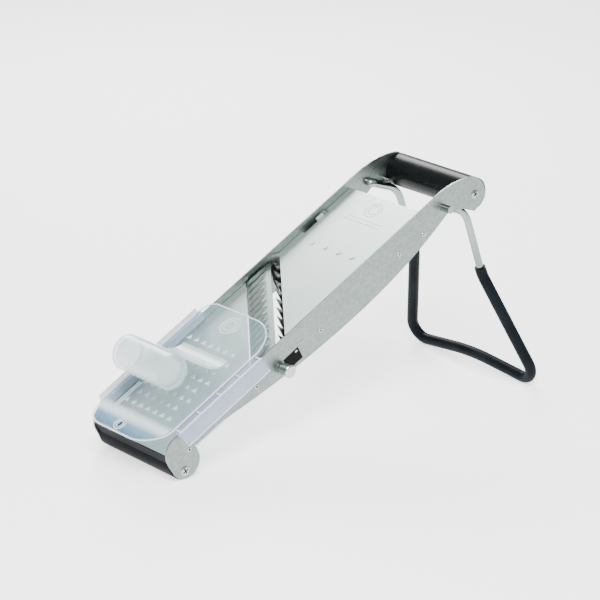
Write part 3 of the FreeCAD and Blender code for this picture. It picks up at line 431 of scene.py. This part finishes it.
def cross_screw(x, z, head, side):
    """A domed head with a cross sunk in it."""
    verts, faces = [], []
    rings, count = 10, 48
    for r in range(rings + 1):
        share = r / rings
        radius = head * share
        for i in range(count):
            a = 2 * math.pi * i / count
            dx, dz = radius * math.cos(a), radius * math.sin(a)
            height = SCREW_RISE * math.sqrt(max(1 - share ** 2 * 0.92, 0))
            if min(abs(dx), abs(dz)) < head * CROSS_HALF_WIDTH and radius < head * CROSS_REACH:
                height -= CROSS_DEPTH
            verts.append((x + dx, side * (HALF + height), z + dz))
    for r in range(rings):
        for i in range(count):
            j = (i + 1) % count
            faces.append((r * count + i, r * count + j, (r + 1) * count + j, (r + 1) * count + i))
    base = len(verts)
    verts += ring_of(x, z, side * HALF, head, count)
    for i in range(count):
        j = (i + 1) % count
        faces.append((rings * count + i, rings * count + j, base + j, base + i))
    faces.append(tuple(base + i for i in range(count)))
    return verts, faces


def screw_heads(name, screw, node):
    """The heads on both ends of a bar, which stand for its CAD screws."""
    parts = [cross_screw(*screw, side) for side in (-1, 1)]
    solid(name, *join(parts), "base", BRIGHT, "bright_steel", node)


def cross_shade(x, z, head, side):
    """Painted shade on the floor of one screw's cross: two thin dark bars."""
    near, far = sorted((side * (HALF + 0.02), side * (HALF + 0.62)))
    long, narrow = head * CROSS_FLOOR_REACH, head * CROSS_HALF_WIDTH
    return [cuboid((x - wide, near, z - tall), (x + wide, far, z + tall))
            for wide, tall in ((long, narrow), (narrow, long))]


screw_heads("handle_screw_heads", HANDLE_SCREW, "handle_screws")
screw_heads("foot_screw_heads", FOOT_SCREW, "foot_screws")
# Painted shade in the cross of every screw head.
cross_shades = []
for screw in (HANDLE_SCREW, FOOT_SCREW):
    for side in (-1, 1):
        cross_shades += cross_shade(*screw, side)
solid("screw_cross_shade", *join(cross_shades), "base", DARK, "handle_black")

# Places are (along, above). A profile is (radius, distance from the middle of the deck) pairs.
RIVETS = [(8.5, 7.0), (91.0, 7.0), (170.0, 4.0), (273.0, 6.5), (304.0, 4.0)]
RIVET_PROFILE = [(0.01, HALF + 0.15), (0.9, HALF + 0.15), (1.2, HALF + 0.62), (1.7, HALF + 0.7),
                 (2.1, HALF + 0.5), (2.3, HALF + 0.2), (2.3, HALF - 0.3)]
rivet_parts = [lathe(RIVET_PROFILE, x, z, side, 28) for x, z in RIVETS for side in (-1, 1)]
solid("rivet_heads", *join(rivet_parts), "base", BRIGHT, "bright_steel", "rivets")
# A near-black disc in the hollow of each rivet head, as painted shade.
WELL_PROFILE = [(0.01, HALF + 0.3), (1.15, HALF + 0.3), (1.2, HALF + 0.1), (0.01, HALF + 0.1)]
well_parts = [lathe(WELL_PROFILE, x, z, side, 20) for x, z in RIVETS for side in (-1, 1)]
solid("rivet_well_shade", *join(well_parts), "base", DARK, "handle_black")

KNOB_ALONG, KNOB_HEIGHT = 120.5, 3.0
KNOB_PROFILE = [(0.01, 64.5), (4.6, 64.5), (5.5, 64.2), (6.0, 63.5), (6.0, 56.6), (5.6, 56.0), (4.4, 55.9),
                (4.2, 55.6), (4.2, 52.5), (3.9, 52.3), (2.5, 52.3)]
solid("turned_knob", *lathe(KNOB_PROFILE, KNOB_ALONG, KNOB_HEIGHT, -1, 48), "knob", BRIGHT, "bright_steel",
      "knob")


# ---------------------------------------------------------------- scale mark

MARK_FACE = -HALF - 0.06
mark_block = cuboid((138.6, MARK_FACE, 5.2), (141.2, MARK_FACE + 0.1, 6.4))
solid("scale_mark", *mark_block, "base", MARK, "slider_grey")


# ---------------------------------------------------------------- guard details

def lip_height(x, radius, level):
    """Height of the sheet's bent lip at x, for the face whose bend has this radius."""
    start = -radius * math.sin(LIP_ANGLE)
    if x >= 0:
        return level
    if x >= start:
        return level + radius - math.sqrt(radius ** 2 - x ** 2)
    return level + radius * (1 - math.cos(LIP_ANGLE)) + (start - x) * math.tan(LIP_ANGLE)


def sheet_outline(inset, level, steps=14):
    """The guard sheet's outline, a given distance in from its edge."""
    corners = [(SHEET_START, -SHEET_HALF, 30, 180), (SHEET_END, -SHEET_HALF, 35, 270),
               (SHEET_END, SHEET_HALF, 13, 0), (SHEET_START, SHEET_HALF, 30, 90)]
    points = []
    for x, y, radius, start in corners:
        cx = x + radius if x < 0 else x - radius
        cy = y + radius if y < 0 else y - radius
        for i in range(steps + 1):
            a = math.radians(start + 90 * i / steps)
            px, py = cx + (radius - inset) * math.cos(a), cy + (radius - inset) * math.sin(a)
            points.append((px, py, lip_height(px, LIP_BEND, level)))
    dense = []
    for first, second in zip(points, points[1:] + points[:1]):
        count = max(1, int(math.dist(first[:2], second[:2]) // 4))
        for i in range(count):
            x = first[0] + (second[0] - first[0]) * i / count
            y = first[1] + (second[1] - first[1]) * i / count
            dense.append((x, y, lip_height(x, LIP_BEND, level)))
    return dense


def guard_bead(name, points, radius, closed=False, material=RIM_HIGHLIGHT):
    """A bead on the clear guard, whitish as a painted highlight unless another finish is given."""
    bead(name, points, radius, "guard", material, "guard_clear", closed)


def deck_bead(name, points, radius, closed=False):
    """A raised line on the in-feed plate."""
    bead(name, points, radius, "infeed", SHEET, "steel_sheet", closed)


# Plain rings and bars stand where the real one has its marks.
GUARD_MARK = (121.2, 3.0, SHEET_TOP + 0.2)
DECK_MARK = (299.0, 2.0, DECK_TOP - 0.1)
DECK_BARS, DECK_BAR_HALF = (285.5, 281.5), 24

# The rim, rings and low ribs take the guard beads' painted highlight.
guard_bead("guard_rim", sheet_outline(0.6, SHEET_TOP - 0.4), 0.62, closed=True)
for number, radius in enumerate((9.5, 6.0)):
    guard_bead(f"guard_ring_{number + 1}", flat_ring(*GUARD_MARK, radius), 0.55, closed=True)
for number, radius in enumerate((8.6, 5.4)):
    deck_bead(f"deck_ring_{number + 1}", flat_ring(*DECK_MARK, radius), 0.4, closed=True)
for number, x in enumerate(DECK_BARS):
    ends = [(x, DECK_BAR_HALF, DECK_TOP - 0.1), (x, -DECK_BAR_HALF, DECK_TOP - 0.1)]
    deck_bead(f"deck_bar_{number + 1}", ends, 0.35)
for number, y in enumerate((28.6, 31.4)):
    guard_bead(f"guard_low_rib_{number + 1}", [(2, y, SHEET_TOP + 0.1), (34, y, SHEET_TOP + 0.1)], 0.5)

# The ridges, rungs and skirt edge of the guard's two channels, as beads carrying a painted highlight.
CHANNEL_START = 5.4
CHANNEL_ENDS = ((-1, 105.0, "right"), (1, 125.0, "left"))
RIDGES = ((57.0, 30.5, "outer"), (49.6, 31.6, "inner"))
RUNG_START, RUNG_PITCH, RUNG_HEIGHT = 7.6, 24, 29.9
RUNG_INNER, RUNG_OUTER = 50.4, 56.4
SKIRT_ACROSS, SKIRT_HEIGHT = 61.7, 17.9

for side, end, word in CHANNEL_ENDS:
    last = end - 0.4
    for y, z, part in RIDGES:
        guard_bead(f"guard_ridge_{part}_{word}", [(CHANNEL_START, side * y, z), (last, side * y, z)], 0.75)
    for count in range(int((end - 7) // RUNG_PITCH) + 1):
        x = RUNG_START + RUNG_PITCH * count
        rung = [(x, side * RUNG_INNER, RUNG_HEIGHT), (x, side * RUNG_OUTER, RUNG_HEIGHT)]
        guard_bead(f"guard_rung_{word}_{count + 1}", rung, 0.75)
    edge = [(x, side * SKIRT_ACROSS, SKIRT_HEIGHT) for x in (CHANNEL_START, last)]
    guard_bead(f"guard_skirt_edge_{word}", edge, 0.6)


def lip_light_sheet():
    """The lip's painted reflection and highlight, carried on a thin film just over the sheet, inside its rim.
    """
    rows, columns = 20, 30
    corner, corner_along, corner_across = 28.8, 8.4, SHEET_HALF - 31.5
    verts, faces = [], []
    for i in range(rows + 1):
        x = FILM_START + (FILM_END - FILM_START) * i / rows
        reach = SHEET_HALF - 3.0
        if i < rows:
            reach = corner_across + math.sqrt(max(corner ** 2 - (corner_along - x) ** 2, 0))
        for j in range(columns + 1):
            y = reach * (2 * j / columns - 1)
            verts.append((x, y, lip_height(x, LIP_BEND, SHEET_TOP) + 0.12))
    for i in range(rows):
        for j in range(columns):
            a = i * (columns + 1) + j
            faces.append((a, a + columns + 1, a + columns + 2, a + 1))
    film = solid("guard_lip_light_sheet", verts, faces, "guard", LIP_PAINTED_LIGHT, "guard_clear", smooth=True)
    thick = film.modifiers.new("thick", "SOLIDIFY")
    thick.thickness = 0.2 * MM


lip_light_sheet()

STUD_ALONG, STUD_ACROSS, STUD_TOP = -13.7, 0.5, 36.5
for number, radius in enumerate((5.7, 3.4)):
    ring = flat_ring(STUD_ALONG, STUD_ACROSS, STUD_TOP, radius)
    guard_bead(f"stud_ring_{number + 1}", ring, 0.5, closed=True)
# The slot's dark bead is painted shade.
slot_ends = [(STUD_ALONG + reach, STUD_ACROSS, STUD_TOP - 0.2) for reach in (-3.7, 3.7)]
guard_bead("stud_slot_shade", slot_ends, 0.6, material=DARK)

GRIP_ALONG, GRIP_HEIGHT = 37.0, 64.5
for number, (end, radius) in enumerate(((31.5, 15.2), (28.4, 13.2))):
    for side, word in ((-1, "right"), (1, "left")):
        ring = ring_of(GRIP_ALONG, GRIP_HEIGHT, side * (end - 0.4), radius, 48)
        bead(f"grip_ring_{number + 1}_{word}", ring, 0.45, "guard", SKIRT, "grip_frosted")

# The points stand in staggered rows.
POINT_ROWS, POINT_COLUMNS = 8, 7
POINT_START, POINT_ROW = 14.6, 11.7
POINT_ACROSS, POINT_PITCH, POINT_STAGGER = -32, 10, 5


def spike(x, y):
    """A three-sided point under the sheet, its sharp side facing up the deck."""
    tip = (x + 0.6, y, SHEET_LOW - 2.8)
    base = [(x + 3.2, y, SHEET_LOW), (x - 2.2, y + 3.1, SHEET_LOW), (x - 2.2, y - 3.1, SHEET_LOW)]
    return [tip] + base, [(0, 1, 2), (0, 2, 3), (0, 3, 1), (1, 3, 2)]


spikes = []
for row in range(POINT_ROWS):
    across = POINT_ACROSS + POINT_STAGGER * (row % 2)
    for column in range(POINT_COLUMNS):
        spikes.append(spike(POINT_START + POINT_ROW * row, across + POINT_PITCH * column))
points = solid("guard_points", *join(spikes), "guard", TOOTH, "guard_clear", "guard_spikes")
points.data.materials.append(SPIKE_SHADE)
FACES_PER_POINT, SHADED_FACE = 4, 1
for face in points.data.polygons:
    if face.index % FACES_PER_POINT == SHADED_FACE:
        face.material_index = 1


# ---------------------------------------------------------------- seams, apron, tab, softened edges

SEAM_ACROSS, SEAM_HEIGHT = 50.36, 19.3
SEAM_LOW_END, SEAM_HIGH_END = -12, 314
INFEED_EDGE = 178
NOTCH_START, NOTCH_END = 249, 283
SKEW_REACH = SKEW * PLATE_HALF


def seam(name, body, start, end, side):
    """The gap between a deck plate and the side plate, drawn as a near-black bead of painted shade."""
    ends = [(x, side * SEAM_ACROSS, SEAM_HEIGHT) for x in (start, end)]
    bead(name, ends, 0.32, body, DARK, "handle_black", closed=False)


seam("outfeed_seam_left", "base", SEAM_LOW_END, RIPPLE_EDGE + SKEW_REACH, 1)
seam("outfeed_seam_right", "base", SEAM_LOW_END, RIPPLE_EDGE - SKEW_REACH, -1)
seam("infeed_seam_left", "infeed", INFEED_EDGE + SKEW_REACH, NOTCH_START, 1)
seam("infeed_seam_top", "infeed", NOTCH_END, SEAM_HIGH_END, 1)
seam("infeed_seam_right", "infeed", INFEED_EDGE - SKEW_REACH, SEAM_HIGH_END, -1)


def soften(piece, width):
    """Round the sharp edges a little."""
    bevel = piece.modifiers.new("soft_edges", "BEVEL")
    bevel.width = width * MM
    bevel.segments = 2
    bevel.limit_method = "ANGLE"
    bevel.angle_limit = math.radians(40)


def block(name, low, high, body, material, slot):
    """A small moulded block with softened edges."""
    soften(solid(name, *cuboid(low, high), body, material, slot), 0.4)


block("foot_apron", (-13.7, -50.0, 8.0), (-13.05, 50.0, 18.7), "base", RUBBER, "foot_rubber")
block("tab_cap", (267.8, 46.1, 18.6), (276.2, 49.05, 21.3), "slider", TAB, "slider_grey")
for name, width in (("handle_grip", 1.0), ("foot_bar", 1.0), ("side_plate_right", 0.25),
                    ("side_plate_left", 0.25), ("infeed_plate", 0.3), ("leg_rod", 0.8), ("leg_sleeve", 0.6)):
    soften(nodes[name], width)


# ---------------------------------------------------------------- stage, light and camera

def area_light(name, place, size, power, target=(0.18, 0, 0.08)):
    """A round soft light that faces the slicer, in metres and watts."""
    lamp = bpy.data.lights.new(name, "AREA")
    lamp.shape = "DISK"
    lamp.size = size
    lamp.energy = power
    holder = bpy.data.objects.new(name, lamp)
    holder.location = place
    holder.rotation_euler = (Vector(target) - Vector(place)).to_track_quat("-Z", "Y").to_euler()
    bpy.context.scene.collection.objects.link(holder)


def studio():
    """A pale floor, an even pale sky and two soft lights."""
    floor_mesh = bpy.data.meshes.new("floor")
    reach = 6.0
    floor_mesh.from_pydata([(-reach, -reach, 0), (reach, -reach, 0), (reach, reach, 0), (-reach, reach, 0)],
                           [], [(0, 1, 2, 3)])
    floor = bpy.data.objects.new("floor", floor_mesh)
    gap_under_feet = 0.2 * MM
    floor.location.z = -gap_under_feet
    floor_material, _, _ = shader("floor_white", (0.93, 0.93, 0.93), 0.7, Emission_Strength=1.6,
                                  Emission_Color=(1.0, 1.0, 1.0, 1.0))
    floor_mesh.materials.append(floor_material)
    bpy.context.scene.collection.objects.link(floor)
    world = bpy.data.worlds.new("studio")
    world.use_nodes = True
    world.node_tree.nodes["Background"].inputs["Color"].default_value = (0.96, 0.98, 1.0, 1)
    world.node_tree.nodes["Background"].inputs["Strength"].default_value = 0.85
    bpy.context.scene.world = world
    area_light("key", (-0.6, -0.9, 1.6), 0.8, 60)
    area_light("back", (0.9, 1.2, 1.1), 0.8, 30)


def camera():
    """The photograph's view: a long lens from the foot's right, looking down a little."""
    lens = bpy.data.cameras.new("camera")
    lens.lens = 171.9
    lens.sensor_width = 36
    lens.clip_start, lens.clip_end = 0.1, 30
    holder = bpy.data.objects.new("camera", lens)
    right = Vector((0.76955, -0.63859, 0.00062)).normalized()
    forward = Vector((0.60326, 0.72666, -0.32871)).normalized()
    up = right.cross(forward)
    turn = Matrix((right, up, -forward)).transposed().to_4x4()
    holder.matrix_world = Matrix.Translation((-1.3512, -1.8301, 0.9365)) @ turn
    bpy.context.scene.collection.objects.link(holder)
    bpy.context.scene.camera = holder


studio()
camera()

bpy.context.view_layer.update()
